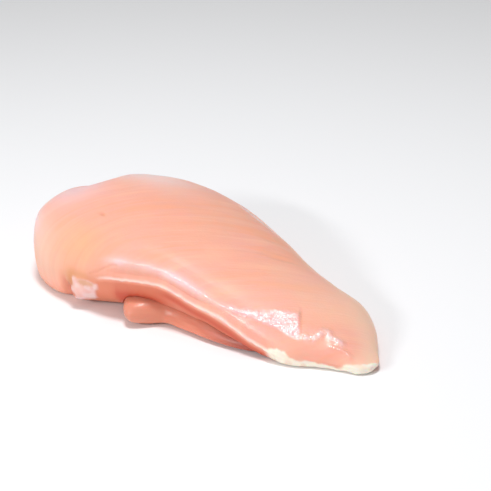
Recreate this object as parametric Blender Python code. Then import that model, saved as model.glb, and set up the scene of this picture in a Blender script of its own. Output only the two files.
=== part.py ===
"""Raw chicken breast: one skinless, boneless half with its inner fillet.

The breast lies on its flat inner side, thin tip to +X, keel edge to -Y, domed
outer side up. It has two pieces of muscle. The large outer fillet is lofted
between a near rail and a far rail, the two halves of one closed rim line. The
inner fillet, or tenderloin, is a tapered strap that lies in a hollow under the
keel edge, and its round head shows below the overhanging lip.

The tables are drawn about 181 units long, close to millimetres. UNIT brings them to
metres at the real length.
"""

import bmesh
import bpy
import numpy as np

LENGTH = 0.172          # thick end to tip, in metres
DRAWN_LENGTH = 180.6    # the same length in the tables
UNIT = LENGTH / DRAWN_LENGTH

# Rim of the outer fillet: x, y, and the height of its widest line. The first
# point is the tip, then the rim runs along the keel edge to the thick end and
# back along the rib edge.
RIM = [
    (90.5, -9, 3), (87, -15, 2.5), (78, -18.4, 3), (68.5, -22.8, 3.5),
    (60, -27.6, 4), (50, -28.8, 5.5), (36, -30.3, 9), (18, -31.5, 15),
    (-2, -34, 20), (-22, -41, 21), (-40, -42, 17), (-60, -40, 14),
    (-77, -31.5, 16), (-90, -10, 18.5), (-83.5, 12, 19.5), (-70, 34, 16),
    (-46, 49.5, 13), (-14, 49.6, 10), (14, 40, 8), (33, 30.5, 6),
    (50, 25, 5), (64, 21.5, 5), (77, 11, 4), (85.5, -0.5, 3),
]
THICK_END = 13  # rim point at the middle of the thick end

# Along the length: x and a height or radius there.
CREST = [(-90, 30.5), (-78, 36), (-52, 39.3), (-20, 37.4), (10, 31.2),
         (40, 23.3), (65, 15), (91, 6)]
NEAR_SHOULDER = [(-90, 11), (-50, 12), (-28, 11), (0, 10), (20, 8.5), (50, 5.5),
                 (75, 4), (91, 2.5)]
FAR_SHOULDER = [(-90, 12), (-50, 11), (-20, 9), (10, 6), (50, 5), (91, 2.5)]
NEAR_LIP = [(-90, 12), (-50, 11), (-38, 8), (-28, 5.2), (-10, 6.3), (0, 6.8), (25, 6.5),
            (38, 5), (50, 3.4), (91, 2.5)]
FAR_LIP = [(-90, 12), (-50, 10), (0, 7), (50, 4.5), (91, 2.5)]
CREST_SHIFT = [(-90, 0.0), (-40, 0.05), (0, 0.05), (91, 0.0)]
NEAR_TURN = [(-90, 9), (-45, 9), (-20, 14), (30, 14), (60, 9), (91, 9)]

DOME_POWER = 2.3        # roundness of the crown across the width
FAR_TURN = 9.0          # tightness of the far shoulder, as NEAR_TURN is of the near one
LIP_POWER = 14.0        # tightness of the turn from rim to underside
UNDERCUT_POWER = 7.0    # how soon the underside reaches the table
TIP_POWER = 10.0        # bluntness of the thin tip
END_POWER = 9.0         # bluntness of the thick end
SINK = 4.0              # depth by which the underside is pressed flat
TABLE_ROUND = 2.5       # rounding where the sides meet the table
THIN_WALL = 2.5         # least meat over the inner fillet

# Inner fillet: x, near edge, far edge, height, and the share of its height that
# lies below its widest line, which is more at the round head.
STRAP = [
    (-23, -34, -21, 10.5, 0.5), (-19, -38.5, -15, 11.2, 0.5), (-14.5, -42.4, -11, 11.6, 0.5),
    (-10.5, -43.6, -8, 11.6, 0.4), (-6.5, -39.6, -7, 11.4, 0.35), (-2, -33.8, -6, 11.2, 0.3),
    (8, -32, -3, 11, 0.2), (22, -32.2, 0, 9.8, 0.2), (38, -29.8, 3, 7.2, 0.2),
    (50, -24, 4, 5.8, 0.2), (66, -12, 4, 4.5, 0.2), (80, -4, 3, 3, 0.2),
]
STRAP_END_POWER = 12.0  # bluntness of its two ends
STRAP_TOP_POWER = 3.0   # flatness of its top
STRAP_FOOT_POWER = 6.0  # tightness of its lower edges
EDGE_ROOM = 0.012       # least share of a section between a rim and the hollow
HOLLOW_GROW = 2.6       # extra half width of the hollow around it
HOLLOW_LIFT = 0.9       # clear height of the hollow above it

# Soft dents and bulges: centre, reach and push, each as x, y, z.
PRESSES = [
    ((-75, 10, 35), (8, 14, 12), (0, 0, -4.8)),   # dip behind the shoulder lobe
    ((-48, -41, 4), (2.5, 6, 6), (0, 4, 1)),      # crease beside the end lobe
    ((-41, -41, 7), (5, 5, 6), (0, -3, -1)),      # stub of white tendon
]

PLAN_CENTRE = (0.2, 4.0)  # middle of the plan in the tables' own x and y

FILLET_RINGS = 74
FILLET_TOP = 32
FILLET_UNDER = (12, 18, 8)  # points underneath: far of the hollow, over it, near of it
STRAP_RINGS = 42
STRAP_TOP = 20
STRAP_UNDER = 10
RAIL_STEPS = 40


def along(x, table, column=1):
    """Smooth value at x through a table, as a cubic with matched slopes."""
    rows = np.array(table, float)
    knots = rows[:, 0]
    values = rows[:, column]
    step = np.diff(knots)
    slope = np.diff(values) / step
    inner = (slope[:-1] * step[1:] + slope[1:] * step[:-1]) / (step[1:] + step[:-1])
    tangent = np.concatenate([slope[:1], inner, slope[-1:]])
    x = np.clip(x, knots[0], knots[-1])
    i = np.clip(np.searchsorted(knots, x, side="right") - 1, 0, len(step) - 1)
    u = (x - knots[i]) / step[i]
    return ((2 * u**3 - 3 * u**2 + 1) * values[i]
            + (u**3 - 2 * u**2 + u) * step[i] * tangent[i]
            + (3 * u**2 - 2 * u**3) * values[i + 1]
            + (u**3 - u**2) * step[i] * tangent[i + 1])


def rail(first, last, count):
    """Half of the rim as evenly spaced points on a smooth closed curve."""
    points = np.array(RIM, float)
    total = len(points)
    ahead = np.roll(points, -1, axis=0) - points
    step = np.sqrt(np.linalg.norm(ahead, axis=1))
    slope = ahead / step[:, None]
    back = np.roll(step, 1)
    tangent = (np.roll(slope, 1, axis=0) * step[:, None] + slope * back[:, None])
    tangent /= (step + back)[:, None]
    u = np.linspace(0, 1, RAIL_STEPS, endpoint=False)[:, None]
    pieces = []
    for k in range(first, last):
        i = k % total
        j = (k + 1) % total
        pieces.append((2 * u**3 - 3 * u**2 + 1) * points[i]
                      + (u**3 - 2 * u**2 + u) * step[i] * tangent[i]
                      + (3 * u**2 - 2 * u**3) * points[j]
                      + (u**3 - u**2) * step[i] * tangent[j])
    pieces.append(points[last % total][None, :])
    line = np.concatenate(pieces)
    travelled = np.linalg.norm(np.diff(line, axis=0), axis=1)
    share = np.concatenate([[0], np.cumsum(travelled)])
    share /= share[-1]
    even = np.linspace(0, 1, count)
    return np.stack([np.interp(even, share, line[:, k]) for k in range(3)], axis=1)


def ring_angles(top_count, under_count):
    """Angles round a section: near rim, over the top, far rim, underneath."""
    over = np.linspace(0, np.pi, top_count)
    under = np.linspace(np.pi, 2 * np.pi, under_count + 2)[1:-1]
    return np.concatenate([over, under])


def hollow_edge(near, far, column, grow):
    """Place of the hollow's edge on each section: -1 at the near rail, 1 at the far."""
    share = np.full(len(near), 0.5)
    for _ in range(6):
        x = near[:, 0] * (1 - share) + far[:, 0] * share
        y = along(x, STRAP, column) + grow
        share = (y - near[:, 1]) / np.maximum(far[:, 1] - near[:, 1], 1)
        share = np.clip(share, EDGE_ROOM, 1 - EDGE_ROOM)
    return (2 * share - 1)[:, None]


def under_places(near, far):
    """Places of the underside's points on each section, far rail to near rail.

    Three runs of cosine steps crowd them at the two rims and at the two edges
    of the hollow, so that the faces follow those edges.
    """
    outer, middle, inner = FILLET_UNDER
    e_near = hollow_edge(near, far, 1, -HOLLOW_GROW)
    e_far = hollow_edge(near, far, 2, HOLLOW_GROW)
    from_far = np.cos(np.linspace(0, np.pi / 2, outer + 1)[1:])
    over_hollow = (1 - np.cos(np.linspace(0, np.pi, middle + 1)[1:])) / 2
    to_near = np.cos(np.linspace(np.pi / 2, np.pi, inner + 2)[1:-1])
    return np.concatenate([e_far + (1 - e_far) * from_far,
                           e_far + (e_near - e_far) * over_hollow,
                           e_near + (1 + e_near) * to_near], axis=1)


def strap_roof(x, y):
    """Height of the hollow over a plan point: the inner fillet's top, enlarged."""
    low = STRAP[0][0] - HOLLOW_GROW
    high = STRAP[-1][0] + HOLLOW_GROW
    t = np.clip((x - low) / (high - low), 0, 1)
    end = np.sqrt(1 - np.abs(2 * t - 1) ** STRAP_END_POWER)
    near = along(x, STRAP, 1) - HOLLOW_GROW
    far = along(x, STRAP, 2) + HOLLOW_GROW
    half = np.maximum((far - near) / 2 * end, 1e-6)
    across = np.clip(np.abs(y - (near + far) / 2) / half, 0, 1)
    height = (along(x, STRAP, 3) + HOLLOW_LIFT) * end
    return height * np.sqrt(1 - across**STRAP_TOP_POWER)


def settle(z):
    """Lay a height on the table: zero below it, with a parabola for the turn."""
    turn = (z + TABLE_ROUND) ** 2 / (4 * TABLE_ROUND)
    return np.where(z > TABLE_ROUND, z, np.where(z < -TABLE_ROUND, 0, turn))


def press(points, centre, reach, push):
    """Move points by push near centre, fading out as a bell over reach."""
    away = (points - np.array(centre, float)) / np.array(reach, float)
    weight = np.exp(-(away**2).sum(axis=-1))
    return points + weight[..., None] * np.array(push, float)


def fillet_rings():
    """Sections of the outer fillet, each across from the near to the far rail.

    Over a section, e runs from -1 at the near rail to 1 at the far rail. The
    top is the rim line plus a tight shoulder plus a broad dome, the underside
    is the rim line minus a tight lip and an undercut, cut off at the table and
    hollowed over the inner fillet.
    """
    near = rail(0, THICK_END, FILLET_RINGS)
    far = rail(THICK_END, len(RIM), FILLET_RINGS)[::-1]
    s = np.linspace(0, 1, FILLET_RINGS)
    x = (near[:, 0] + far[:, 0]) / 2
    power = np.where(s < 0.5, TIP_POWER, END_POWER)
    end = (1 - np.abs(2 * s - 1) ** power)[:, None]
    over = np.tile(-np.cos(np.linspace(0, np.pi, FILLET_TOP)), (FILLET_RINGS, 1))
    e = np.concatenate([over, under_places(near, far)], axis=1)
    is_top = np.arange(e.shape[1])[None, :] < FILLET_TOP
    a = np.abs(e)
    shift = along(x, CREST_SHIFT)[:, None]
    share = (1 + e) / 2 + np.where(is_top, shift, 0) * (1 - e**2)
    rim = near[:, None, :] * (1 - share[..., None]) + far[:, None, :] * share[..., None]
    centre = 0.5 + shift
    rim_middle = near[:, 2:] * (1 - centre) + far[:, 2:] * centre
    shoulder = np.where(e < 0, along(x, NEAR_SHOULDER)[:, None],
                        along(x, FAR_SHOULDER)[:, None])
    lip = np.where(e < 0, along(x, NEAR_LIP)[:, None], along(x, FAR_LIP)[:, None])
    turn = np.where(e < 0, along(x, NEAR_TURN)[:, None], FAR_TURN)
    rise = along(x, CREST)[:, None] - rim_middle
    fall = rim_middle + SINK
    top = rim[..., 2] + end * (shoulder * np.sqrt(1 - a**turn)
                               + (rise - shoulder) * (1 - a**DOME_POWER))
    under = rim[..., 2] - end * (lip * np.sqrt(1 - a**LIP_POWER)
                                 + np.maximum(fall - lip, 0) * (1 - a**UNDERCUT_POWER))
    roof = top - THIN_WALL * np.sqrt(1 - a**LIP_POWER)
    hollow = np.minimum(strap_roof(rim[..., 0], rim[..., 1]), roof)
    z = np.where(is_top, top, np.maximum(settle(under), hollow))
    points = np.concatenate([rim[..., :2], z[..., None]], axis=-1)
    for centre_point, reach, push in PRESSES:
        points = press(points, centre_point, reach, push)
    points[..., 2] = np.maximum(points[..., 2], 0)
    return points


def strap_rings():
    """Sections of the inner fillet: a rounded flat top over a narrow foot."""
    turn = np.linspace(0, np.pi, STRAP_RINGS)
    t = (1 - np.cos(turn)) / 2
    x = STRAP[0][0] + (STRAP[-1][0] - STRAP[0][0]) * t
    end = np.sqrt(np.clip(1 - np.abs(2 * t - 1) ** STRAP_END_POWER, 0, 1))[:, None]
    near = along(x, STRAP, 1)[:, None]
    far = along(x, STRAP, 2)[:, None]
    angle = ring_angles(STRAP_TOP, STRAP_UNDER)
    e = -np.cos(angle)[None, :]
    is_top = (angle <= np.pi)[None, :]
    a = np.abs(e)
    y = (near + far) / 2 + (far - near) / 2 * end * e
    height = along(x, STRAP, 3)[:, None]
    foot = along(x, STRAP, 4)[:, None] * height
    top = foot + (height - foot) * end * np.sqrt(1 - a**STRAP_TOP_POWER)
    under = foot * (1 - end * np.sqrt(1 - a**STRAP_FOOT_POWER))
    z = np.where(is_top, top, under)
    wide_x = np.broadcast_to(x[:, None], z.shape)
    return np.stack([wide_x, y, z], axis=-1)


def loft(name, rings, material, parent):
    """Closed skin through the rings, with its first and last ring drawn to a point."""
    shift = np.array([PLAN_CENTRE[0], PLAN_CENTRE[1], 0.0])
    rings = (rings - shift) * UNIT
    mesh = bpy.data.meshes.new(name)
    bm = bmesh.new()
    loops = []
    for ring in rings[1:-1]:
        loops.append([bm.verts.new(point) for point in ring])
    count = len(loops[0])
    for verts in loops:
        for j in range(count):
            bm.edges.new((verts[j], verts[(j + 1) % count]))
    for lower, upper in zip(loops[:-1], loops[1:]):
        for j in range(count):
            k = (j + 1) % count
            bm.faces.new((lower[j], lower[k], upper[k], upper[j]))
    for verts, ring in ((loops[0], rings[0]), (loops[-1], rings[-1])):
        pole = bm.verts.new(ring.mean(axis=0))
        for j in range(count):
            bm.faces.new((verts[j], verts[(j + 1) % count], pole))
    bmesh.ops.recalc_face_normals(bm, faces=bm.faces)
    bm.to_mesh(mesh)
    bm.free()
    mesh.shade_smooth()
    mesh.materials.append(material)
    piece = bpy.data.objects.new(name, mesh)
    piece.parent = parent
    bpy.context.collection.objects.link(piece)
    return piece


def flesh(name, color, roughness):
    """Moist raw muscle: a plain dielectric in the photographed colour."""
    material = bpy.data.materials.new(name)
    material.use_nodes = True
    shader = material.node_tree.nodes["Principled BSDF"]
    shader.inputs["Base Color"].default_value = (*color, 1.0)
    shader.inputs["Roughness"].default_value = roughness
    shader.inputs["Metallic"].default_value = 0.0
    return material


for old in list(bpy.data.objects):
    bpy.data.objects.remove(old, do_unlink=True)

root = bpy.data.objects.new("chicken_breast", None)
bpy.context.collection.objects.link(root)

outer_flesh = flesh("outer_flesh", (0.93, 0.50, 0.38), 0.35)
inner_flesh = flesh("inner_flesh", (0.78, 0.32, 0.24), 0.35)
loft("breast", fillet_rings(), outer_flesh, root)
loft("tenderloin", strap_rings(), inner_flesh, root)
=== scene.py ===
# %% [markdown]
# # A raw chicken breast
#
# One skinless, boneless chicken breast half lies on its flat inner side. It has
# two muscles: the large domed outer fillet, and the slim inner fillet, or
# tenderloin, whose round head looks out under the keel edge. Raw meat is a hard
# thing to make convincing, because nothing about it is regular. Its form is soft
# but has sharp lips and folds, its colour comes from below the surface, and its
# gloss is a thin film of moisture that breaks up over the grain.
#
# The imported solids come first, as the fixed frame that every piece sits in.

# %% Load the frame
import math

import bpy
import numpy as np
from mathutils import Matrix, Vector


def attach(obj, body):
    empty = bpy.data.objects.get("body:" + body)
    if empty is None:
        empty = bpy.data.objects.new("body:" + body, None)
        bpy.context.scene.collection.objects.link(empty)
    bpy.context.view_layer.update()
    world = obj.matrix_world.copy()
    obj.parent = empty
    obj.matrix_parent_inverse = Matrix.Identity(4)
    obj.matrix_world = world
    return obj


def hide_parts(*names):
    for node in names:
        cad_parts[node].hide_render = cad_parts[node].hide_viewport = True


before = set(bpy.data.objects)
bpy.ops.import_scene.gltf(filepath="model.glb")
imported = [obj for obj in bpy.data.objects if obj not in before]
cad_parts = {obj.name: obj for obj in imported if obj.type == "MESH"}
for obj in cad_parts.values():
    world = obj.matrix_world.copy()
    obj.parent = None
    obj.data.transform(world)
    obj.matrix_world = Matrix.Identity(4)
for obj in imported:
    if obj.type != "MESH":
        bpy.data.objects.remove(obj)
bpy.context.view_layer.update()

print("nodes:", sorted(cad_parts))

# %% [markdown]
# ## Sizes
#
# The breast is drawn about 181 units long, which is close to millimetres, and
# UNIT brings the drawing to its real length of 172 mm. The rim is the line that
# goes round the breast at its widest: from the thin tip, along the keel edge
# nearest the camera, round the thick end, and back along the rib edge. Each row
# is x, y and the height of the rim there. Along the keel edge the rim climbs to
# 21 units, which is what makes the overhanging lip.

# %% Rim and profiles
LENGTH = 0.172
DRAWN_LENGTH = 180.6
UNIT = LENGTH / DRAWN_LENGTH
PLAN_CENTRE = np.array([0.2, 4.0, 0.0])

RIM = np.array([
    (90.5, -9, 3), (87, -15, 2.5), (78, -18.4, 3), (68.5, -22.8, 3.5),
    (60, -27.6, 4), (50, -28.8, 5.5), (36, -30.3, 9), (18, -31.5, 15),
    (-2, -34, 20), (-22, -41, 21), (-40, -42, 17), (-60, -40, 14),
    (-77, -31.5, 16), (-90, -10, 18.5), (-83.5, 12, 19.5), (-70, 34, 16),
    (-46, 49.5, 13), (-14, 49.6, 10), (14, 40, 8), (33, 30.5, 6),
    (50, 25, 5), (64, 21.5, 5), (77, 11, 4), (85.5, -0.5, 3),
], float)
THICK_END = 13

CREST = [(-90, 30.5), (-78, 36), (-52, 39.3), (-20, 37.4), (10, 31.2),
         (40, 23.3), (65, 15), (91, 6)]
NEAR_SHOULDER = [(-90, 11), (-50, 12), (-28, 11), (0, 10), (20, 8.5), (50, 5.5),
                 (75, 4), (91, 2.5)]
FAR_SHOULDER = [(-90, 12), (-50, 11), (-20, 9), (10, 6), (50, 5), (91, 2.5)]
NEAR_LIP = [(-90, 12), (-50, 11), (-38, 8), (-28, 5.2), (-10, 6.3), (0, 6.8), (25, 6.5),
            (38, 5), (50, 3.4), (91, 2.5)]
FAR_LIP = [(-90, 12), (-50, 10), (0, 7), (50, 4.5), (91, 2.5)]
CREST_SHIFT = [(-90, 0.0), (-40, 0.05), (0, 0.05), (91, 0.0)]
NEAR_TURN = [(-90, 9), (-45, 9), (-20, 14), (30, 14), (60, 9), (91, 9)]

DOME_POWER = 2.3
FAR_TURN = 9.0
LIP_POWER = 14.0
UNDERCUT_POWER = 7.0
TIP_POWER = 10.0
END_POWER = 9.0
SINK = 4.0
TABLE_ROUND = 2.5
THIN_WALL = 2.5

print("one drawn unit is", round(UNIT * 1000, 4), "mm")

# %% [markdown]
# ## Reading a table smoothly, and a random field
#
# Four helpers do most of the work. `along` reads a height or radius from a short
# table, with a cubic between rows so that nothing kinks. `noise` gives a smooth
# random value at any point in space: it looks up a fixed block of random
# numbers, so the same breast comes out every time. Where a pattern adds a number
# to its points, as in `fillet + 61`, it reads another part of the block, so that
# no two patterns fall together. A factor such as [1, 0.16, 1] stretches a
# pattern along the grain. `bell` and `ease` are the soft bump and the soft step
# that every mask is made of.

# %% Helpers: along, noise, bell and ease
def along(x, table, column=1):
    """Value at x: a cubic Hermite curve between the table's rows, whose slope
    at each row is the weighted mean of the slopes on its two sides."""
    rows = np.array(table, float)
    knots, values = rows[:, 0], rows[:, column]
    step = np.diff(knots)
    slope = np.diff(values) / step
    inner = (slope[:-1] * step[1:] + slope[1:] * step[:-1]) / (step[1:] + step[:-1])
    tangent = np.concatenate([slope[:1], inner, slope[-1:]])
    x = np.clip(x, knots[0], knots[-1])
    i = np.clip(np.searchsorted(knots, x, side="right") - 1, 0, len(step) - 1)
    u = (x - knots[i]) / step[i]
    return ((2 * u**3 - 3 * u**2 + 1) * values[i]
            + (u**3 - 2 * u**2 + u) * step[i] * tangent[i]
            + (3 * u**2 - 2 * u**3) * values[i + 1]
            + (u**3 - u**2) * step[i] * tangent[i + 1])


CELLS = 64
LATTICE = np.random.default_rng(11).random((CELLS, CELLS, CELLS)) * 2 - 1


def noise(points, size):
    """Smooth random value from -1 to 1: the eight lattice values round
    points / size, mixed with weights f * f * (3 - 2 f) along each axis."""
    q = np.asarray(points, float) / size
    cell = np.floor(q).astype(int)
    f = q - cell
    f = f * f * (3 - 2 * f)
    total = np.zeros(q.shape[:-1])
    for corner in range(8):
        shift = np.array([corner & 1, corner >> 1 & 1, corner >> 2 & 1])
        weight = np.where(shift, f, 1 - f).prod(axis=-1)
        i, j, k = np.moveaxis((cell + shift) % CELLS, -1, 0)
        total += weight * LATTICE[i, j, k]
    return total


def bell(distance, width):
    """Bump of height 1: exp of minus (distance / width) squared."""
    return np.exp(-((distance / width) ** 2))


def ease(value, low, high):
    """0 below low, 1 above high, and an S curve t * t * (3 - 2 t) between."""
    t = np.clip((value - low) / (high - low), 0, 1)
    return t * t * (3 - 2 * t)


print("noise at three points:", noise([[0.5, 0.5, 0.5], [3.2, 1, 7], [9, 9, 2.5]], 1.0).round(3))

# %% [markdown]
# ## The form of the outer fillet
#
# A breast could be sculpted, or subdivided from a rough cage. Here it is a loft
# instead, because a loft keeps the rim exactly where the measurements put it.
# The rim is cut into a near rail and a far rail, and a section spans the two at
# each step from tip to thick end. Over a section, e runs from -1 at the near
# rail to 1 at the far rail. The top is the rim line, plus a tight shoulder, plus
# a broad dome. The underside is the rim line, minus a lip, minus an undercut.

# %% Rails
RAIL_STEPS = 40


def rail(first, last, count):
    """Part of the rim as evenly spaced points: a closed centripetal
    Catmull-Rom curve, sampled densely, then read at equal steps of length."""
    ahead = np.roll(RIM, -1, axis=0) - RIM
    step = np.sqrt(np.linalg.norm(ahead, axis=1))
    slope = ahead / step[:, None]
    back = np.roll(step, 1)
    tangent = np.roll(slope, 1, axis=0) * step[:, None] + slope * back[:, None]
    tangent /= (step + back)[:, None]
    i = np.arange(first, last)[:, None] % len(RIM)
    j = (i + 1) % len(RIM)
    u = np.linspace(0, 1, RAIL_STEPS, endpoint=False)[None, :, None]
    h = step[i][..., None]
    line = ((2 * u**3 - 3 * u**2 + 1) * RIM[i] + (u**3 - 2 * u**2 + u) * h * tangent[i]
            + (3 * u**2 - 2 * u**3) * RIM[j] + (u**3 - u**2) * h * tangent[j])
    line = np.vstack([line.reshape(-1, 3), RIM[last % len(RIM)]])
    share = np.concatenate([[0], np.cumsum(np.linalg.norm(np.diff(line, axis=0), axis=1))])
    even = np.linspace(0, share[-1], count)
    return np.stack([np.interp(even, share, line[:, k]) for k in range(3)], axis=1)


print("near rail, 5 points:", rail(0, THICK_END, 5).round(1).tolist())

# %% [markdown]
# The inner fillet is a strap with its own table: x, near edge, far edge, height,
# and the share of the height below its widest line. The outer fillet is hollowed
# over it, so the table is needed first. The hollow is the strap's own top, a
# little wider and higher, which leaves the thin gap that a film of connective
# tissue fills on the real bird. The fine grids here need less room than the
# solids' coarse ones, so the gap is a little closer.

# %% The inner fillet's table and the hollow over it
STRAP = [
    (-23, -34, -21, 10.5, 0.5), (-19, -38.5, -15, 11.2, 0.5), (-14.5, -42.4, -11, 11.6, 0.5),
    (-10.5, -43.6, -8, 11.6, 0.4), (-6.5, -39.6, -7, 11.4, 0.35), (-2, -33.8, -6, 11.2, 0.3),
    (8, -32, -3, 11, 0.2), (22, -32.2, 0, 9.8, 0.2), (38, -29.8, 3, 7.2, 0.2),
    (50, -24, 4, 5.8, 0.2), (66, -12, 4, 4.5, 0.2), (80, -4, 3, 3, 0.2),
]
STRAP_END_POWER = 12.0
STRAP_TOP_POWER = 3.0
STRAP_FOOT_POWER = 6.0
HOLLOW_GROW = 1.8
HOLLOW_LIFT = 0.7


def strap_roof(x, y):
    """Height of the hollow over a plan point: height along the strap, times a
    blunt fall at its two ends, times the root of 1 - across cubed."""
    low, high = STRAP[0][0] - HOLLOW_GROW, STRAP[-1][0] + HOLLOW_GROW
    t = np.clip((x - low) / (high - low), 0, 1)
    end = np.sqrt(1 - np.abs(2 * t - 1) ** STRAP_END_POWER)
    near = along(x, STRAP, 1) - HOLLOW_GROW
    far = along(x, STRAP, 2) + HOLLOW_GROW
    half = np.maximum((far - near) / 2 * end, 1e-6)
    across = np.clip(np.abs(y - (near + far) / 2) / half, 0, 1)
    return (along(x, STRAP, 3) + HOLLOW_LIFT) * end * np.sqrt(1 - across**STRAP_TOP_POWER)


def settle(z):
    """Lay a height on the table: itself above r, 0 below -r, and between them
    the parabola (z + r) squared over 4 r, where r is TABLE_ROUND."""
    turn = (z + TABLE_ROUND) ** 2 / (4 * TABLE_ROUND)
    return np.where(z > TABLE_ROUND, z, np.where(z < -TABLE_ROUND, 0, turn))


print("hollow over (20, -15):", round(float(strap_roof(np.array(20.0), np.array(-15.0))), 2))

# %% [markdown]
# Underneath, the points of a section aren't spread evenly. They crowd at the two
# rims and at the two edges of the hollow, so that the mesh has a line of faces
# along each edge instead of cutting across it in teeth.

# %% Places of the points underneath
UNDER_RUNS = (36, 48, 20)
EDGE_ROOM = 0.012
IDLE_NEAR, IDLE_FAR = 0.06, 0.5


def hollow_edge(near, far, column, grow, idle):
    """Place of the hollow's edge on each section, found by six rounds of:
    x at that share of the section, then the share at the edge's y there.
    Past the strap's two ends it drifts to the share idle, so that no two
    places fall together near a pole."""
    share = np.full(len(near), 0.5)
    for _ in range(6):
        x = near[:, 0] * (1 - share) + far[:, 0] * share
        y = along(x, STRAP, column) + grow
        share = (y - near[:, 1]) / np.maximum(far[:, 1] - near[:, 1], 1)
        share = np.clip(share, EDGE_ROOM, 1 - EDGE_ROOM)
    beyond = np.maximum(ease(STRAP[0][0] - x, 2, 30), ease(x - STRAP[-1][0], 2, 8))
    share = share * (1 - beyond) + idle * beyond
    return (2 * share - 1)[:, None]


def under_places(near, far):
    """e of the points underneath, far rail to near rail: three runs of cosine
    steps, from the rim to the hollow, over the hollow, and on to the rim."""
    outer, middle, inner = UNDER_RUNS
    e_near = hollow_edge(near, far, 1, -HOLLOW_GROW, IDLE_NEAR)
    e_far = hollow_edge(near, far, 2, HOLLOW_GROW, IDLE_FAR)
    from_far = np.cos(np.linspace(0, np.pi / 2, outer + 1)[1:])
    over_hollow = (1 - np.cos(np.linspace(0, np.pi, middle + 1)[1:])) / 2
    to_near = np.cos(np.linspace(np.pi / 2, np.pi, inner + 2)[1:-1])
    return np.concatenate([e_far + (1 - e_far) * from_far,
                           e_far + (e_near - e_far) * over_hollow,
                           e_near + (1 + e_near) * to_near], axis=1)


print("points underneath each section:", sum(UNDER_RUNS))

# %% [markdown]
# Three soft pushes finish the main form: a dip behind the shoulder lobe, and the
# stub of tendon with a crease beside it, where the end lobe folds under.

# %% The outer fillet's sections
FILLET_RINGS = 300
FILLET_OVER = 220

PRESSES = [
    ((-75, 10, 35), (8, 14, 12), (0, 0, -4.8)),
    ((-48, -41, 4), (2.5, 6, 6), (0, 4, 1)),
    ((-41, -41, 7), (5, 5, 6), (0, -3, -1)),
]


def press(points, centre, reach, push):
    """Move points near centre: push times a bell in space, which is exp of
    minus the sum of squares of (point - centre) / reach."""
    away = (points - np.array(centre, float)) / np.array(reach, float)
    return points + np.exp(-(away**2).sum(axis=-1))[..., None] * np.array(push, float)


def fillet_sections():
    """Points on a grid of sections by places round each section.

    The top is the rim's height, plus the shoulder times the root of 1 - |e|^turn,
    plus the rest of the rise times 1 - |e|^2.3. The underside is the rim's
    height, minus the lip times the root of 1 - |e|^14, minus the undercut times
    1 - |e|^7, laid on the table and raised over the hollow. Both fade at the two
    ends: by 1 - |2 s - 1|^10 to the tip, and by 1 - |2 s - 1|^9 to the thick end."""
    near = rail(0, THICK_END, FILLET_RINGS)
    far = rail(THICK_END, len(RIM), FILLET_RINGS)[::-1]
    s = np.linspace(0, 1, FILLET_RINGS)
    x = (near[:, 0] + far[:, 0]) / 2
    end = (1 - np.abs(2 * s - 1) ** np.where(s < 0.5, TIP_POWER, END_POWER))[:, None]
    over = np.tile(-np.cos(np.linspace(0, np.pi, FILLET_OVER)), (FILLET_RINGS, 1))
    e = np.concatenate([over, under_places(near, far)], axis=1)
    is_top = np.arange(e.shape[1])[None, :] < FILLET_OVER
    a = np.abs(e)
    shift = along(x, CREST_SHIFT)[:, None]
    share = ((1 + e) / 2 + np.where(is_top, shift, 0) * (1 - e**2))[..., None]
    rim = near[:, None, :] * (1 - share) + far[:, None, :] * share
    middle = near[:, 2:] * (0.5 - shift) + far[:, 2:] * (0.5 + shift)
    shoulder = np.where(e < 0, along(x, NEAR_SHOULDER)[:, None], along(x, FAR_SHOULDER)[:, None])
    lip = np.where(e < 0, along(x, NEAR_LIP)[:, None], along(x, FAR_LIP)[:, None])
    turn = np.where(e < 0, along(x, NEAR_TURN)[:, None], FAR_TURN)
    rise = along(x, CREST)[:, None] - middle
    top = rim[..., 2] + end * (shoulder * np.sqrt(1 - a**turn)
                               + (rise - shoulder) * (1 - a**DOME_POWER))
    under = rim[..., 2] - end * (lip * np.sqrt(1 - a**LIP_POWER)
                                 + np.maximum(middle + SINK - lip, 0) * (1 - a**UNDERCUT_POWER))
    roof = np.minimum(strap_roof(rim[..., 0], rim[..., 1]),
                      top - THIN_WALL * np.sqrt(1 - a**LIP_POWER))
    z = np.where(is_top, top, np.maximum(settle(under), roof))
    points = np.concatenate([rim[..., :2], z[..., None]], axis=-1)
    for centre, reach, push in PRESSES:
        points = press(points, centre, reach, push)
    points[..., 2] = np.maximum(points[..., 2], 0)
    return points


fillet = fillet_sections()
print("outer fillet grid:", fillet.shape, "highest point", fillet[..., 2].max().round(2))

# %% [markdown]
# ## Relief
#
# Relief is added along the surface's own normals. Its terms are the things that
# someone who cuts meat would point to. The rolled lip along the keel edge has a
# groove in front of it, the fat edge near the tip stands up in small lumps, and a
# sharp little fold crosses the thin end. Bundles of fibres fan out from a point
# beyond the keel edge, so `grain` gives each point its place in that fan: the
# angle round the point, and the distance from it.

# %% Normals, the fan of the grain, and distance from the rim
FAN = np.array([-280.0, -340.0])
FAN_RADIUS = 420.0


def normals(points):
    """Unit normals of a grid that wraps round its second axis: the cross
    product of the steps along and round it, turned to point outwards."""
    round_step = np.roll(points, -1, axis=1) - np.roll(points, 1, axis=1)
    n = np.cross(np.gradient(points, axis=0), round_step)
    n /= np.linalg.norm(n, axis=-1, keepdims=True) + 1e-12
    middle = points.mean(axis=(0, 1))
    return n if ((points - middle) * n).sum() > 0 else -n


def fan_grain(points):
    """Across: angle round the fan's centre times a mean radius, so that it
    reads in drawn units. Along: distance from the centre."""
    dx, dy = points[..., 0] - FAN[0], points[..., 1] - FAN[1]
    return np.stack([np.arctan2(dy, dx) * FAN_RADIUS, np.hypot(dx, dy),
                     np.zeros_like(dx)], axis=-1)


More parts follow.
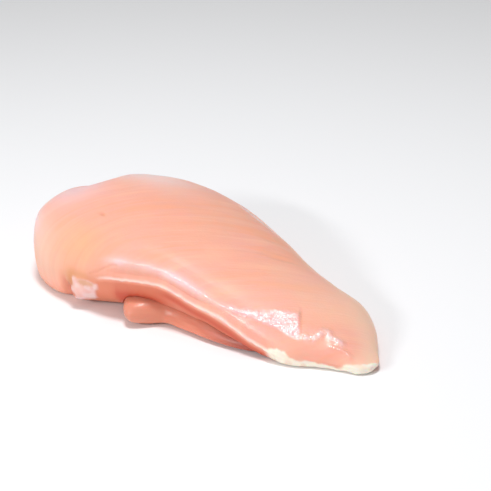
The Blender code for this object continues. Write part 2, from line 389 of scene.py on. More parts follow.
def length_round(points):
    """Distance from the near rim along each section, over the top."""
    step = np.linalg.norm(np.diff(points, axis=1), axis=-1)
    return np.concatenate([np.zeros((len(points), 1)), np.cumsum(step, axis=1)], axis=1)


def from_line(x, y, corners):
    """Distance from a broken line, in plan or in x and gap: the least of the
    distances from its segments, each to the foot t of the perpendicular on it."""
    least = np.full(x.shape, np.inf)
    for (x0, y0), (x1, y1) in zip(corners, corners[1:]):
        dx, dy = x1 - x0, y1 - y0
        t = np.clip(((x - x0) * dx + (y - y0) * dy) / (dx * dx + dy * dy), 0, 1)
        least = np.minimum(least, np.hypot(x - x0 - t * dx, y - y0 - t * dy))
    return least


fillet_normal = normals(fillet)
grain = fan_grain(fillet)
over_top = length_round(fillet)
whole_round = over_top[:, -1:] + np.linalg.norm(fillet[:, :1] - fillet[:, -1:], axis=-1)
is_over = (np.arange(fillet.shape[1]) < FILLET_OVER)[None, :]
gap = np.where(over_top < whole_round / 2, over_top, over_top - whole_round)
far_gap = np.abs(over_top - over_top[:, FILLET_OVER - 1:FILLET_OVER])
X, Y, Z = np.moveaxis(fillet, -1, 0)
up = fillet_normal[..., 2]
print("girth at the middle:", whole_round[FILLET_RINGS // 2].round(1))

# %% [markdown]
# `gap` is the distance from the near rim along the skin, counted up from nothing
# above the rim and down from nothing below it. The fat edge is a strip of it: a
# little at the cut end of the keel, almost nothing further on, and wider again
# round the tip. Its width is a table along x.

# %% Masks: where each tissue lies
# Places are in drawn units, and found against the photo's own layout.
FAT_WIDTH = [(-91, 0), (46, 0), (52, 1.2), (58, 2.0), (62, 0.9), (66, 0.2), (70, -0.5),
             (74, -0.9), (79, -0.5), (83, 2.0), (87, 3.0), (91, 3.0)]
BEAD_LINE = [(-91, -0.8), (-8, -0.8), (0, 0), (18, 0), (22, 0.6), (26, 1.2), (31, 1.8),
             (37, 1.4), (43, 0.4), (50, 0), (91, 0)]
TINT = (-40, -37, 28)
LILAC = (-71, -6, 35)
CREAM = (-64, -38, 17)
CORNER = (-44.2, -42.6, 8.2)
STAIN = (-43.6, -42.5, 12.8)
STAIN_HIGH = (-36.5, -42.2, 16.6)
FAR_LINE = [(-10, 34.2), (-4.8, 33.3), (5.3, 31.9), (10, 30.6)]
STUB_WAY = (0.788, 0.616)
STUB_MIDDLE, STUB_HEIGHT = -53.8, 9.2


def blob(centre, reach):
    """Soft lump of value 1 at a point of the skin: the same bell in space."""
    away = (fillet - np.array(centre, float)) / np.array(reach, float)
    return np.exp(-(away**2).sum(axis=-1))


def between(start, end):
    """1 along a stretch of the breast and 0 beyond it: a soft step up where x
    runs through start, and a soft step down where it runs through end."""
    return ease(X, *start) * (1 - ease(X, *end))


# %% [markdown]
# Along the keel edge lie the cream fat and the bead of the lip. Pale painted
# highlights lie on the bead and on the roll behind it, and painted shade makes
# the groove between the two slightly darker and redder.

# %% Masks along the keel edge and on the far side
rim_lumps = 0.8 * noise(np.stack([X, Y * 0, Z * 0], axis=-1), 2.8)
fat_reach = along(X, FAT_WIDTH) + rim_lumps + 0.4 * noise(fillet + 7, 1.1)
fat = ease(fat_reach - gap, -0.45, 0.6) * ease(gap, -7, -4) * ease(X, 49, 54)
fat = fat * (1 - 0.25 * ease(noise(fillet + 91, 2.8), 0.0, 0.55))
lip_run = between((-30, -13), (40, 58))
bead_gap = gap - along(X, BEAD_LINE)
# Painted highlight: a thin pale line along the bead on the lip's edge. The same mask shapes the
# bead's relief.
beads = bell(bead_gap + 0.25 * noise(fillet + 63, 2.2), 0.68)
beads = beads * between((-31, -22), (52, 62))
# Painted highlight: a pale pink-white band along the roll behind the lip, and broken pale strokes
# along a line on the far edge.
film = (0.85 * bell(gap - 6.2, 1.8) + 0.2 * bell(gap - 6.2, 4)) * lip_run
film = film * (1 + 0.5 * noise(grain * [1, 0.2, 1], 3.0)) * (1 - 0.7 * ease(X, 8, 28))
far_line = bell(from_line(X, Y, FAR_LINE), 1.2) * is_over
film = film + 0.9 * far_line * ease(noise(fillet + 5, 2.5), -0.5, 0.1)
# Painted shade: the groove between bead and roll, a little darker and redder.
groove = bell(bead_gap - 2.6, 1.2) * lip_run
print("share of the skin that is fat:", fat.mean().round(4))

# %% [markdown]
# Where the wing came off, a stub of tendon is left: a pale block with ragged
# sides and a tan oval in it. Around it the meat is stained a little yellow, and
# painted shade makes the corner below dark.

# %% Masks at the tendon stub
side_run = STUB_WAY[0] * X + STUB_WAY[1] * Y - STUB_MIDDLE + 1.3 * noise(fillet + 17, 2.4)
stub_height = Z - STUB_HEIGHT + 0.7 * noise(fillet + 27, 2.0)
stub = (1 - ease(np.abs(side_run), 4.4, 5.9)) * (1 - ease(np.abs(stub_height), 4.6, 6.2))
stub = stub * (Y < -30)
tendon = stub * (1 - 0.35 * ease(noise(fillet + 17, 2.2), -0.1, 0.5))
oval = bell(side_run / 3.4, 1) * bell((Z - STUB_HEIGHT - 4.2) / 1.6, 1) * (Y < -34)
oval = ease(oval, 0.30, 0.62)
tint = 0.8 * blob(TINT, (14, 11, 11))
stain = blob(STAIN, (4.2, 5, 5)) + 0.6 * blob(STAIN_HIGH, (6.5, 5, 2.4))
# Painted shade: dark red in the corner below the tendon stub.
corner = blob(CORNER, (3.0, 5, 3.4))
print("share of the skin that is tendon:", tendon.mean().round(4))

# %% [markdown]
# The large muscle itself varies slowly. Painted sheen makes its thick end pale
# and a little lilac, a painted warm glow lightens its thin end and far edge, and
# the side that was cut from the bone is redder. Painted shade darkens that side
# further where it faces down, under the lip and most of all in the crevice by
# the inner fillet.

# %% Masks of the large muscle, above and below
# Painted sheen: pale colour on the upward faces of the thick end and of the far upper side, where
# a glancing reflection of the bright room would lie.
pale = ease(-X, 52, 84) * ease(-up, -0.97, -0.45) * ease(Z, 6, 30)
pale = pale + 0.9 * ease(-X, 14, 56) * ease(Y, 0, 22) * (1 - ease(Y, 26, 40))
pale = np.clip(pale, 0, 1) * ease(up, -0.35, 0.25)
# Painted sheen: a lilac-white glancing reflection high on the thick end.
lilac = 1.2 * blob(LILAC, (13, 17, 9))
cream = blob(CREAM, (13, 9, 11))
# Painted glow: warmer, paler colour on the thin end and along the far edge, in place of light
# shining through the thin meat.
thin = np.maximum(ease(X, 20, 76) * ease(gap, 12, 30), ease(X, 80, 89)) * is_over
far_glow = (1 - ease(far_gap, 4, 22)) * ease(X, -22, 8) * is_over
# Redder underside, where the breast was cut from the bone, darkened further by painted shade
# where the surface faces down and under the lip.
under_lip = ease(-bead_gap, 0.9, 2.4) * between((-33, -28), (46, 54))
below = np.maximum(ease(-up, -0.10, 0.5), under_lip) * ease(Z, 0.0, 1.2)
below = below * (1 - 0.8 * ease(-X, 42, 56)) * (1 - 0.6 * ease(Y, 2, 18))
near_side = along(X, STRAP, 1) - HOLLOW_GROW - Y
far_side = Y - along(X, STRAP, 2) - HOLLOW_GROW
outside = np.maximum(np.maximum(near_side, far_side), 0)
above = np.maximum(Z - along(X, STRAP, 3) - HOLLOW_LIFT, 0)
by_knob = between((-26, -20), (-6, 6))
past_knob = between((-6, 6), (48, 58))
# Painted shade: dark red in the crevice round the inner fillet's head, and in a band under the
# lip beyond it.
deep = np.exp(-outside / 2.4 - above / 3.2) * by_knob + bell(bead_gap + 4.2, 2.0) * past_knob
deep = deep * ~is_over
# Darker rose well under the lip on the near side: the redder underside, with painted shade from
# the overhang over it.
rose = ease(-bead_gap, 4.5, 8.5) * past_knob * (Y < 0) * ~is_over
print("share of the skin that is the redder underside:", below.mean().round(4))

# %% [markdown]
# At the thin end the camera sees a bright wet patch that stops dead at a fold.
# The patch is a small almost flat facet. Its two long borders are tables of `gap`
# along x, and its third side is the fold, which is straight in plan but for a
# little noise. Beyond the fold a small crooked ridge with a tail catches the
# light, and those two are broken lines. `wet` collects every place where the
# film of moisture is thick enough to shine.

# %% The wet facet, the fold and the small ridge
FOLD_TOP = np.array([54.6, -11.4])
FOLD_FOOT = np.array([63.4, -23.0])
FACET_LOW = [(27, 6.6), (34, 7.2), (45, 8.8), (55, 9.4), (64, 8.2)]
FACET_HIGH = [(27, 7.6), (35, 9.4), (40, 11.2), (45, 14.0), (48, 16.6), (51, 18.8),
              (55, 20.6), (64, 21.6)]
FACET_CENTRE = np.array([52.0, -20.0, 15.2])
FACET_NORMAL = np.array([0.300, -0.437, 0.848])
HOOK_LINE = [(-32, 0.2), (-28, 1.0), (-24.2, 2.8), (-21.6, 4.1), (-19, 4.6)]
RIDGE_LINE = [(63.9, -20.2), (66.3, -18.9), (67.1, -16.2), (67.6, -13.4), (69.2, -12.3),
              (71.6, -13.6), (73.4, -12.9), (75.8, -12.5)]
RIDGE_TAIL = [(73.6, -16.4), (78.6, -14.6), (81.7, -14.7)]
FOLD_DEEP = 0.42

fold_length = np.linalg.norm(FOLD_FOOT - FOLD_TOP)
fold_way = (FOLD_FOOT - FOLD_TOP) / fold_length
fold_along = (X - FOLD_TOP[0]) * fold_way[0] + (Y - FOLD_TOP[1]) * fold_way[1]
fold_across = (Y - FOLD_TOP[1]) * fold_way[0] - (X - FOLD_TOP[0]) * fold_way[1]
fold_across = fold_across + 0.5 * noise(fillet + 33, 3.5)
fold_end = ease(fold_along, fold_length - 3, fold_length + 1.5)
fold_run = ease(fold_along, -2.5, 2) * (1 - fold_end) * is_over
fold = -FOLD_DEEP * ease(fold_across, -0.5, 1.0) * np.exp(-np.maximum(fold_across, 0) / 4.5)

facet_low, facet_high = along(X, FACET_LOW), along(X, FACET_HIGH)
frayed = 0.9 * noise(fillet + 44, 1.6)
facet = ease(gap - facet_low, -1.0, 1.0) * (1 - ease(gap - facet_high + frayed, -1.8, 1.5))
facet = facet * (1 - ease(fold_across, -0.6, 0.4)) * ease(X, 26, 32) * is_over
torn = ease(noise(fillet + 9, 1.5), -0.9, 0.0)
# Painted highlight: pale colour along the small ridge.
film = film + 0.75 * bell(from_line(X, Y, RIDGE_LINE), 1.1) * is_over * torn
ridge = bell(from_line(X, Y, RIDGE_LINE), 1.7) + 0.6 * bell(from_line(X, Y, RIDGE_TAIL), 1.1)
ridge = ridge * (1 + 0.25 * noise(fillet + 71, 2.0)) * is_over
roll_film = lip_run * bell(gap - 5.8, 2.4) * (0.5 + 0.5 * ease(noise(fillet + 3, 2.2), -0.4, 0.2))
wet = np.clip(facet + 0.8 * far_line + 1.8 * ridge + roll_film + 0.25 * beads, 0, 1)
print("facet covers", facet.mean().round(4), "of the grid")

# %% [markdown]
# Now the heights. Each is in drawn units, so about a millimetre: the roll and
# groove behind the lip, the bead on it, the ridge, and the small hollows of the
# dent, the hook-shaped crease, the oval and the dark corner.

# %% Heights along the lip, and the two small marks
ROLL_PLACE, ROLL_WIDE, ROLL_HIGH = 6.3, 1.9, 0.50
GROOVE_PLACE, GROOVE_WIDE, GROOVE_DEEP = 2.8, 1.15, 0.45
BEAD_HIGH = 0.48
DENT = (-42.4, -22.1)

roll = (ROLL_HIGH * bell(gap - ROLL_PLACE, ROLL_WIDE)
        - GROOVE_DEEP * bell(bead_gap - GROOVE_PLACE, GROOVE_WIDE))
roll = roll * lip_run * (1 - ease(X, 16, 32) * 0.8) * (1 + 0.3 * noise(grain, 4.0))
roll = roll + 0.07 * roll_film * noise(fillet + 4, 1.4)
bead = BEAD_HIGH * beads * (1 + 0.45 * noise(fillet + 61, 1.8) + 0.5 * noise(fillet + 62, 1.2))
dent_x, dent_y = X - DENT[0], Y - DENT[1]
dent = bell(np.hypot(dent_x * 0.6 + dent_y * 0.4, dent_y), 0.9) * is_over
hook = bell(from_line(X, gap, HOOK_LINE), 0.5) * is_over
# Painted shade: darker orange in the dent and in the hook-shaped crease.
marks = dent + 0.45 * hook
print("roll stands", roll.max().round(2), "high, and the groove", -roll.min().round(2), "deep")

# %% [markdown]
# Bundles of fibres show as long faint waves, clearest on the thin half. Near the
# far edge the thin film over the muscle has shrunk into short wrinkles.

# %% Bundles and wrinkles
WRINKLE_DEEP = 0.45
BUNDLE_HIGH, BROAD_HIGH = 0.06, 0.10

streak_zone = np.exp(-(((X - 38) / 34) ** 2 + ((Y - 8) / 17) ** 2))
streak_zone = (0.3 + streak_zone + 0.6 * bell(X + 62, 26)) * ease(up, 0.2, 0.7)
bundle = noise(grain * [1, 0.05, 1], 2.6) + 0.5 * noise(grain * [1, 0.07, 1] + 40, 1.3)
broad = noise(grain * [1, 0.16, 1] + 80, 7.5)

wrinkle_zone = np.exp(-(((X - 30) / 17) ** 2 + ((Y - 9) / 9) ** 2)) * is_over
wrinkles = -WRINKLE_DEEP * wrinkle_zone * ease(noise(grain * [1, 0.16, 1] + 120, 2.6), 0.05, 0.6)
print("wrinkles down to", wrinkles.min().round(2))

# %% Relief of the outer fillet
# Slow unevenness, bundles, lip, fold, ridge and marks, the facet pressed flat and
# pebbled, the lumps of fat, the raised stub with its oval, and the underside.
RIDGE_HIGH, DENT_DEEP, HOOK_DEEP = 0.56, 0.6, 0.28
FACET_FLAT, PEBBLE_HIGH = 0.8, 0.11
STUB_HIGH, OVAL_DEEP, CORNER_DEEP = 0.5, 0.45, 0.9

relief = (wrinkles + 0.36 * noise(fillet, 24.0) + 0.14 * noise(fillet + 50, 10.0)
          + (BUNDLE_HIGH * bundle + BROAD_HIGH * broad) * streak_zone * (1 - facet)
          + roll + bead + fold * fold_run
          + RIDGE_HIGH * ridge - DENT_DEEP * dent - HOOK_DEEP * hook
          - FACET_FLAT * facet * ((fillet - FACET_CENTRE) @ FACET_NORMAL)
          + facet * PEBBLE_HIGH * noise(fillet + 11, 1.2)
          + fat * (0.10 + 0.26 * noise(fillet + 90, 3.0) + 0.08 * noise(fillet, 1.4))
          + stub * (STUB_HIGH + 0.25 * noise(fillet + 20, 2.0)) - OVAL_DEEP * oval
          - CORNER_DEEP * ease(corner, 0.5, 0.95)
          + 0.10 * noise(grain * [1, 0.08, 1], 3.4) * below)
step_share = np.linspace(0, 1, FILLET_RINGS)
quiet = ease(step_share, 0, 0.02) * (1 - ease(step_share, 0.98, 1))
relief = relief * quiet[:, None] * ease(Z, 0.0, 0.6)
fillet_fine = fillet + fillet_normal * relief[..., None]
fillet_fine[..., 2] = np.maximum(fillet_fine[..., 2], 0)
print("relief from", relief.min().round(2), "to", relief.max().round(2))

# %% [markdown]
# ## The inner fillet
#
# The same idea in small: a section has a rounded flat top over a foot that is
# deep at the round head and shallow along the tail. Its grain runs lengthways.

# %% Sections and relief of the inner fillet
STRAP_RINGS = 260
STRAP_OVER = 130
STRAP_UNDER = 50
HEAD_SOFTENING = 40


def strap_sections():
    """Points on a grid of sections by places round each section.

    The top is the foot, plus the rest of the height times the root of 1 - |e|^3.
    The underside is the foot times 1 minus the root of 1 - |e|^6. Both roots are
    multiplied by end, the root of 1 - |2 t - 1|^12. The steps of x follow a
    cosine, so that sections crowd at the two ends."""
    t = (1 - np.cos(np.linspace(0, np.pi, STRAP_RINGS))) / 2
    x = (STRAP[0][0] + (STRAP[-1][0] - STRAP[0][0]) * t)[:, None]
    end = np.sqrt(np.clip(1 - np.abs(2 * t - 1) ** STRAP_END_POWER, 0, 1))[:, None]
    near, far, height = (along(x, STRAP, column) for column in (1, 2, 3))
    over = np.linspace(0, np.pi, STRAP_OVER)
    under = np.linspace(np.pi, 2 * np.pi, STRAP_UNDER + 2)[1:-1]
    e = -np.cos(np.concatenate([over, under]))[None, :]
    a = np.abs(e)
    y = (near + far) / 2 + (far - near) / 2 * end * e
    foot = along(x, STRAP, 4) * height
    top = foot + (height - foot) * end * np.sqrt(1 - a**STRAP_TOP_POWER)
    below_foot = foot * (1 - end * np.sqrt(1 - a**STRAP_FOOT_POWER))
    z = np.where(np.arange(e.shape[1])[None, :] < STRAP_OVER, top, below_foot)
    return np.stack([np.broadcast_to(x, z.shape), y, z], axis=-1)


def soften(points, rounds):
    """Round off sharp turns of a grid: each point becomes half of itself plus a
    quarter of each neighbour, along the grid and then round it, many times."""
    for _ in range(rounds):
        points[1:-1] = (points[:-2] + 2 * points[1:-1] + points[2:]) / 4
        points = (np.roll(points, 1, axis=1) + 2 * points + np.roll(points, -1, axis=1)) / 4
    return points


strap = soften(strap_sections(), HEAD_SOFTENING)
strap_normal = normals(strap)
strap_grain = np.stack([length_round(strap), strap[..., 0], strap[..., 0] * 0], axis=-1)
ring = np.arange(STRAP_RINGS)
strap_quiet = ease(ring, 0, 8) * (1 - ease(ring, STRAP_RINGS - 9, STRAP_RINGS - 1))
strap_relief = (0.26 * noise(strap + 12, 9.0) + 0.10 * noise(strap_grain * [1, 0.16, 1], 3.2)
                + 0.04 * noise(strap_grain * [1, 0.12, 1] + 30, 1.3))
strap_relief = strap_relief * strap_quiet[:, None] * ease(strap[..., 2], 0.0, 0.8)
strap_fine = strap + strap_normal * np.minimum(strap_relief, 0.3)[..., None]
strap_fine[..., 2] = np.maximum(strap_fine[..., 2], 0)
head = 1 - ease(strap[..., 0], -6, 10)
# Painted shade: darker toward the tail, which runs in under the lip, and in the crevice along the
# top of the strap beneath the outer fillet.
tail = ease(strap[..., 0], 10, 44)
crevice = ease(strap[..., 2], 7.5, 11.5) * ease(strap[..., 1] + 34, -2, 6)
print("inner fillet grid:", strap.shape)

# %% [markdown]
# ## From grid to mesh
#
# Each grid becomes quads, and its first and last sections, which are drawn
# together to a point, become one pole vertex each. The masks go along as
# attributes of the vertices, for the materials to read. The signed volume of the
# closed skin tells which way its faces turn: where it is less than nothing, the
# corners of every face are taken in the other order.

# %% Mesh maker
def skin(name, points, **masks):
    """Closed mesh of a grid that wraps round its second axis, with one vertex
    at each end, and every mask stored as an attribute. Its volume is the sum
    over the quads' triangles of (a cross b) dot c, over 6."""
    rows, cols = points.shape[:2]
    inner = points[1:-1].reshape(-1, 3)
    poles = np.stack([points[0].mean(axis=0), points[-1].mean(axis=0)])
    verts = (np.vstack([inner, poles]) - PLAN_CENTRE) * UNIT
    i = np.arange(rows - 3)[:, None] * cols
    j = np.arange(cols)[None, :]
    k = (j + 1) % cols
    quads = np.stack([i + j, i + k, i + cols + k, i + cols + j], axis=-1).reshape(-1, 4)
    last = (rows - 3) * cols
    first_fan = np.stack([k[0], j[0], np.full(cols, len(inner))], axis=-1)
    last_fan = np.stack([last + j[0], last + k[0], np.full(cols, len(inner) + 1)], axis=-1)
    a, b, c, d = (verts[quads[:, m]] for m in range(4))
    volume = (np.cross(a, b) * c).sum() / 6 + (np.cross(a, c) * d).sum() / 6
    if volume < 0:
        quads, first_fan, last_fan = quads[:, ::-1], first_fan[:, ::-1], last_fan[:, ::-1]
    mesh = bpy.data.meshes.new(name)
    mesh.from_pydata(verts.tolist(), [], quads.tolist() + first_fan.tolist() + last_fan.tolist())
    for mask, values in masks.items():
        kind = "FLOAT_VECTOR" if values.ndim == 3 else "FLOAT"
        flat = values[1:-1].reshape(len(inner), -1)
        ends = np.stack([values[0].mean(axis=0), values[-1].mean(axis=0)]).reshape(2, -1)
        layer = mesh.attributes.new(mask, kind, "POINT")
        layer.data.foreach_set("vector" if values.ndim == 3 else "value",
                               np.vstack([flat, ends]).astype(np.float32).ravel())
    mesh.shade_smooth()
    piece = bpy.data.objects.new(name, mesh)
    bpy.context.scene.collection.objects.link(piece)
    print(name, "has", len(quads) * 2 + 2 * cols, "triangles and",
          round(abs(volume) * 1e6, 1), "cm3")
    return piece


# %% The two pieces
outer_fillet = skin(
    "outer_fillet", fillet_fine, grain=grain, wet=wet, facet=facet, pale=pale, thin=thin,
    far_glow=far_glow, lilac=lilac, cream=cream, tint=tint, stain=stain, corner=corner,
    film=film, below=below, groove=groove, beads=beads, marks=marks, rose=rose, deep=deep,
    tendon=tendon, oval=oval, fat=fat)
inner_fillet = skin("inner_fillet", strap_fine, grain=strap_grain, head=head, tail=tail,
                    crevice=crevice)

# %% [markdown]
# ## Materials
#
# Raw poultry muscle is pale, soft and wet. Light goes a millimetre or two into
# it and comes back pinker, so the shader scatters below the surface, most in
# red. Over that lies a film of moisture, which is a thin coat. Water's index is
# 1.33, and the coat's is raised to 1.5, so that its glints are as bright under
# soft lamps as they are in the studio. One function turns sRGB hex values into
# linear colour, one adds a node, and one starts a material.

# %% Colour and node helpers
def colour(hex_value):
    """Linear colour of an sRGB hex value: x / 12.92 below 0.04045, and
    ((x + 0.055) / 1.055) ** 2.4 above it."""
    srgb = [int(hex_value[i:i + 2], 16) / 255 for i in (1, 3, 5)]
    linear = [v / 12.92 if v <= 0.04045 else ((v + 0.055) / 1.055) ** 2.4 for v in srgb]
    return (*linear, 1.0)


def add(tree, kind, inputs=None, **settings):
    """Add one node, give it its settings, and fill its inputs with values or
    with links from other nodes' outputs."""
    new = tree.nodes.new(kind)
    for name, value in settings.items():
        setattr(new, name, value)
    for socket, value in (inputs or {}).items():
        if isinstance(value, bpy.types.NodeSocket):
            tree.links.new(value, new.inputs[socket])
        else:
            new.inputs[socket].default_value = value
    return new


def blank(name):
    """New material and its node tree, cleared of the nodes it starts with."""
    material = bpy.data.materials.new(name)
    material.use_nodes = True
    tree = material.node_tree
    tree.nodes.clear()
    return material, tree


print("peach in linear colour:", [round(v, 3) for v in colour("#FBB89E")[:3]])

# %% [markdown]
# The outer fillet's colour is layered. Peach and pink muscle drift into each
# other over a couple of centimetres, paler and warmer streaks follow the grain,
# and then come the layers that the masks place: tissues, and painted highlight,
# sheen, glow and shade. Each row of the table of tissues and painted light is a
# mask, the colour of that layer, and how much of it covers, from the lowest
# layer to the top one. Each row of STREAKS is a width, the two noise values
# between which the streak comes in, and its colour.
#
# Sizes are real ones. The drift and the speckle read Object coordinates, in
# metres: 24 mm, and 0.9 mm for wet fibre ends, which are nearer 0.2 mm and would
# not show. The streaks and fibres read `grain`, in drawn units of about a
# millimetre: bundles 2.4 and 8 wide, and fibres 0.5 wide and 7 long.

# %% Colours and sizes of raw breast muscle
MUSCLE_IOR = 1.38
FILM_IOR = 1.5
SCATTER_DEPTH = 0.0015
DRIFT = 0.024
SPECKLE = 0.0009
STREAK_LONG = 50.0
FIBRE_WIDE, FIBRE_LONG = 0.5, 7.0

STREAKS = [
    (2.4, 0.54, 0.86, "#FFC2A8"),
    (2.4, 0.46, 0.20, "#FBAA88"),
    (8.0, 0.50, 0.72, "#FFBBA0"),
    (8.0, 0.50, 0.28, "#FCAE8E"),
]
# Painted light in this table: the facet's lilac-white highlight tint, the glow of the thin end
# and far edge, the sheen of the thick end, the pale highlights on the roll, ridge, far edge and
# bead, and the shade in the groove, the marks, the crevice and the corner. The underside rows are
# partly the bone side's own red and partly painted shade. The rest are the tissues' own colours.
TISSUES = [
    # Painted highlight: a lilac-white tint on the wet facet.
    ("facet", "#FFC0CC", 0.5),
    ("thin", "#FFCDB2", 0.6),
    ("far_glow", "#FFCFB5", 0.85),
    ("pale", "#F9D8D3", 0.95),
    ("lilac", "#F0CCD0", 0.7),
    ("cream", "#F8D2B8", 0.5),
    ("tint", "#F8B684", 0.7),
    ("film", "#FFD8DA", 0.8),
    ("groove", "#FCA890", 0.4),
    ("marks", "#E2906C", 0.6),
    ("below", "#E28767", 0.95),
    ("rose", "#D7836C", 0.9),
    ("deep", "#CB4E38", 0.75),
    ("beads", "#FFDED4", 0.95),
    ("stain", "#DF9864", 0.85),
    ("corner", "#AE4C3C", 0.9),
    ("tendon", "#F6D9D8", 0.85),
    ("oval", "#E6AC8A", 0.9),
    ("fat", "#FFF3E2", 0.97),
]


# %% Raw breast muscle
# Muscle with a cut, wiped surface gives a soft satin sheen. Where `wet` is high
# the coat is full and smooth, and the speckle is deep, so the facet glitters in
# small points instead of shining like glass.
def breast_muscle():
    """Moist raw breast muscle with fat, moisture and tendon, and painted light in its colour."""
    material, tree = blank("moist raw breast muscle")
    place = add(tree, "ShaderNodeTexCoord").outputs["Object"]
    fan = add(tree, "ShaderNodeAttribute", attribute_name="grain").outputs["Vector"]

    drift = add(tree, "ShaderNodeTexNoise", {"Vector": place, "Scale": 1 / DRIFT, "Detail": 3.0})
    share = add(tree, "ShaderNodeMapRange", {"Value": drift.outputs["Fac"], "From Min": 0.38,
                                             "From Max": 0.62})
    base = add(tree, "ShaderNodeMix", {0: share.outputs[0], 6: colour("#F9B299"),
                                       7: colour("#F9B09E")}, data_type="RGBA")
    for wide, low, high, hex_value in STREAKS:
        stretch = add(tree, "ShaderNodeMapping", {
            "Vector": fan, "Scale": (1 / wide, 1 / STREAK_LONG, 1.0)})
        streak = add(tree, "ShaderNodeTexNoise", {"Vector": stretch.outputs[0], "Scale": 1.0,
                                                  "Detail": 3.0, "Roughness": 0.55})
        share = add(tree, "ShaderNodeMapRange", {"Value": streak.outputs["Fac"],
                                                 "From Min": low, "From Max": high})
        base = add(tree, "ShaderNodeMix", {0: share.outputs[0], 6: base.outputs[2],
                                           7: colour(hex_value)}, data_type="RGBA")
    for mask, hex_value, most in TISSUES:
        layer = add(tree, "ShaderNodeAttribute", attribute_name=mask)
        share = add(tree, "ShaderNodeMapRange", {"Value": layer.outputs["Fac"], "To Max": most})
        base = add(tree, "ShaderNodeMix", {0: share.outputs[0], 6: base.outputs[2],
                                           7: colour(hex_value)}, data_type="RGBA")

    stretch = add(tree, "ShaderNodeMapping", {
        "Vector": fan, "Scale": (1 / FIBRE_WIDE, 1 / FIBRE_LONG, 1.0)})
    fibre = add(tree, "ShaderNodeTexNoise", {"Vector": stretch.outputs[0], "Scale": 1.0,
                                             "Detail": 3.0})
    speckle = add(tree, "ShaderNodeTexNoise", {"Vector": place, "Scale": 1 / SPECKLE,
                                               "Detail": 2.0})
    bump = add(tree, "ShaderNodeBump", {"Height": fibre.outputs["Fac"], "Strength": 0.22,
                                        "Distance": 0.0004})
    film = add(tree, "ShaderNodeAttribute", attribute_name="wet").outputs["Fac"]
    depth = add(tree, "ShaderNodeMapRange", {"Value": film, "To Min": 0.12, "To Max": 0.55})
    bump = add(tree, "ShaderNodeBump", {
        "Height": speckle.outputs["Fac"], "Strength": depth.outputs[0],
        "Distance": 0.0004, "Normal": bump.outputs[0]})
    weight = add(tree, "ShaderNodeMapRange", {"Value": film, "To Min": 0.12, "To Max": 1.0})
    rough = add(tree, "ShaderNodeMapRange", {"Value": film, "To Min": 0.30, "To Max": 0.12})
    shader = add(tree, "ShaderNodeBsdfPrincipled", {
        "Base Color": base.outputs[2], "Roughness": 0.5, "IOR": MUSCLE_IOR,
        "Normal": bump.outputs[0], "Subsurface Weight": 0.55,
        "Subsurface Radius": (1.0, 0.36, 0.22), "Subsurface Scale": SCATTER_DEPTH,
        "Coat Weight": weight.outputs[0], "Coat Roughness": rough.outputs[0],
        "Coat IOR": FILM_IOR, "Coat Normal": bump.outputs[0]})
    add(tree, "ShaderNodeOutputMaterial", {"Surface": shader.outputs[0]})
    return material


outer_fillet.data.materials.append(breast_muscle())
print("outer fillet:", outer_fillet.data.materials[0].name)

# %% [markdown]
# The inner fillet is a darker rose than the outer one, as it lies against the
# bone. It is lightest on its round head, and painted shade darkens it in the
# crevice under the outer fillet and toward the tail, which runs in under the lip.
# Its strands are long, 2.4 wide and 16 long in drawn units, and its film is thin,
# so that it gleams only here and there along a strand.

# %% Raw tenderloin muscle
STRAND_WIDE, STRAND_LONG = 2.4, 16.0

# The tail and crevice rows are painted shade.
TENDERLOIN_PARTS = [
    ("head", "#DE9379", 0.8),
    ("tail", "#AE574B", 0.85),
    ("crevice", "#CC5A42", 0.8),
]


def tenderloin_muscle():
    """Moist raw tenderloin: rose muscle, with soft lengthways strands."""
    material, tree = blank("moist raw tenderloin muscle")
    place = add(tree, "ShaderNodeTexCoord").outputs["Object"]
    fan = add(tree, "ShaderNodeAttribute", attribute_name="grain").outputs["Vector"]
    stretch = add(tree, "ShaderNodeMapping", {
        "Vector": fan, "Scale": (1 / STRAND_WIDE, 1 / STRAND_LONG, 1.0)})
    strand = add(tree, "ShaderNodeTexNoise", {"Vector": stretch.outputs[0], "Scale": 1.0,
                                              "Detail": 3.0})
    share = add(tree, "ShaderNodeMapRange", {"Value": strand.outputs["Fac"], "From Min": 0.3,
                                             "From Max": 0.7})
    base = add(tree, "ShaderNodeMix", {0: share.outputs[0], 6: colour("#E4866C"),
                                       7: colour("#F09C80")}, data_type="RGBA")
    for mask, hex_value, most in TENDERLOIN_PARTS:
        layer = add(tree, "ShaderNodeAttribute", attribute_name=mask)
        share = add(tree, "ShaderNodeMapRange", {"Value": layer.outputs["Fac"], "To Max": most})
        base = add(tree, "ShaderNodeMix", {0: share.outputs[0], 6: base.outputs[2],
                                           7: colour(hex_value)}, data_type="RGBA")
    speckle = add(tree, "ShaderNodeTexNoise", {"Vector": place, "Scale": 1 / SPECKLE,
                                               "Detail": 2.0})
    weight = add(tree, "ShaderNodeMapRange", {"Value": strand.outputs["Fac"], "From Min": 0.5,
                                              "From Max": 0.64, "To Min": 0.06, "To Max": 0.4})
    bump = add(tree, "ShaderNodeBump", {"Height": strand.outputs["Fac"], "Strength": 0.25,
                                        "Distance": 0.0005})
    bump = add(tree, "ShaderNodeBump", {"Height": speckle.outputs["Fac"], "Strength": 0.3,
                                        "Distance": 0.0003, "Normal": bump.outputs[0]})
    shader = add(tree, "ShaderNodeBsdfPrincipled", {
        "Base Color": base.outputs[2], "Roughness": 0.38, "IOR": MUSCLE_IOR,
        "Normal": bump.outputs[0], "Subsurface Weight": 0.5,
        "Subsurface Radius": (1.0, 0.32, 0.2), "Subsurface Scale": SCATTER_DEPTH,
        "Coat Weight": weight.outputs[0], "Coat Roughness": 0.22, "Coat IOR": FILM_IOR,
        "Coat Normal": bump.outputs[0]})
    add(tree, "ShaderNodeOutputMaterial", {"Surface": shader.outputs[0]})
    return material


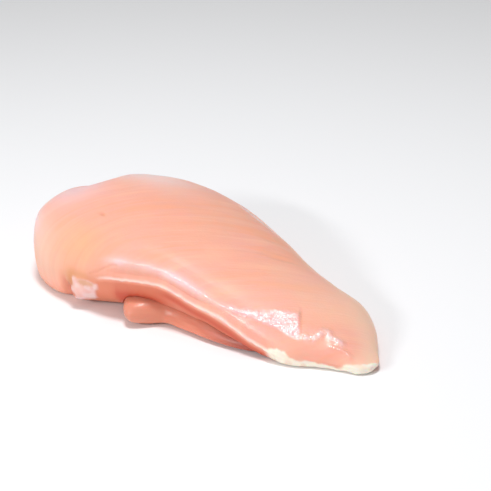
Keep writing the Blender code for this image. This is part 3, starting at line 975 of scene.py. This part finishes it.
inner_fillet.data.materials.append(tenderloin_muscle())
print("inner fillet:", inner_fillet.data.materials[0].name)

# %% [markdown]
# Both muscles ride on the part's one body, and each takes the place of its own
# plain solid.

# %% Hand the pieces to the frame
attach(outer_fillet, "root")
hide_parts("breast")
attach(inner_fillet, "root")
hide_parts("tenderloin")

# %% [markdown]
# ## Floor, light and camera
#
# A packshot on white: a pale matt floor, a bright even room, and two soft lights.
# A low strip in front draws the white line along the rolled lip, because the lip
# faces halfway between that strip and the camera. A panel overhead does the same
# for the wet facet and the small ridge.

# %% Floor
# Matt white paper: no gloss, so that the breast's shadow stays soft and pale. It
# lies a fifth of a millimetre low, clear of the breast's flat side.
FLOOR_HALF = 3.0
FLOOR_DROP = 0.0002

corners = [(-FLOOR_HALF, -FLOOR_HALF, 0), (FLOOR_HALF, -FLOOR_HALF, 0),
           (FLOOR_HALF, FLOOR_HALF, 0), (-FLOOR_HALF, FLOOR_HALF, 0)]
floor_mesh = bpy.data.meshes.new("floor")
floor_mesh.from_pydata(corners, [], [(0, 1, 2, 3)])
floor = bpy.data.objects.new("floor", floor_mesh)
floor.location.z = -FLOOR_DROP
bpy.context.scene.collection.objects.link(floor)
paper, paper_tree = blank("white paper sweep")
paper_shader = add(paper_tree, "ShaderNodeBsdfPrincipled", {
    "Base Color": colour("#FBFBFB"), "Roughness": 0.9})
add(paper_tree, "ShaderNodeOutputMaterial", {"Surface": paper_shader.outputs[0]})
floor_mesh.materials.append(paper)
print("floor:", FLOOR_HALF * 2, "m square")

# %% Lights
ROOM_LIGHT = 0.375
LIGHT_DISTANCE = 0.8
COOL_WHITE = (0.96, 0.97, 1.0)

world = bpy.data.worlds.new("bright room")
world.use_nodes = True
room = world.node_tree.nodes["Background"]
room.inputs["Color"].default_value = (1.0, 1.0, 1.0, 1.0)
room.inputs["Strength"].default_value = ROOM_LIGHT
bpy.context.scene.world = world


def soft_light(name, way, wide, long, watts):
    """Rectangular area light that way from the origin, and facing it."""
    data = bpy.data.lights.new(name, "AREA")
    data.shape = "RECTANGLE"
    data.size, data.size_y = wide, long
    data.energy = watts
    data.color = COOL_WHITE
    lamp = bpy.data.objects.new(name, data)
    lamp.location = Vector(way).normalized() * LIGHT_DISTANCE
    lamp.rotation_euler = Vector(way).to_track_quat("Z", "Y").to_euler()
    bpy.context.scene.collection.objects.link(lamp)
    return lamp


soft_light("low front strip", (-0.13, -0.87, 0.46), 0.36, 0.042, 2.1)
soft_light("overhead panel", (0.03, -0.10, 0.99), 0.20, 0.15, 3.6)
print("lights: room", ROOM_LIGHT, "and two area lights")

# %% [markdown]
# The camera stands 38 degrees round from the keel side toward the thin end and
# looks 25 degrees down through a long lens, as in the photograph.

# %% Camera
AZIMUTH, ELEVATION = 38.0, 25.0
DISTANCE = 610.0 * UNIT
AIM = (np.array([-4.1, 28.4, 14.0]) - PLAN_CENTRE) * UNIT

a, e = math.radians(AZIMUTH), math.radians(ELEVATION)
back = Vector((math.sin(a) * math.cos(e), -math.cos(a) * math.cos(e), math.sin(e)))
lens = bpy.data.cameras.new("camera")
lens.lens = 100.0
camera = bpy.data.objects.new("camera", lens)
camera.location = Vector(AIM) + back * DISTANCE
camera.rotation_euler = back.to_track_quat("Z", "Y").to_euler()
bpy.context.scene.collection.objects.link(camera)
bpy.context.scene.camera = camera
bpy.context.scene.view_settings.view_transform = "Standard"
print("camera at", [round(v, 3) for v in camera.location])
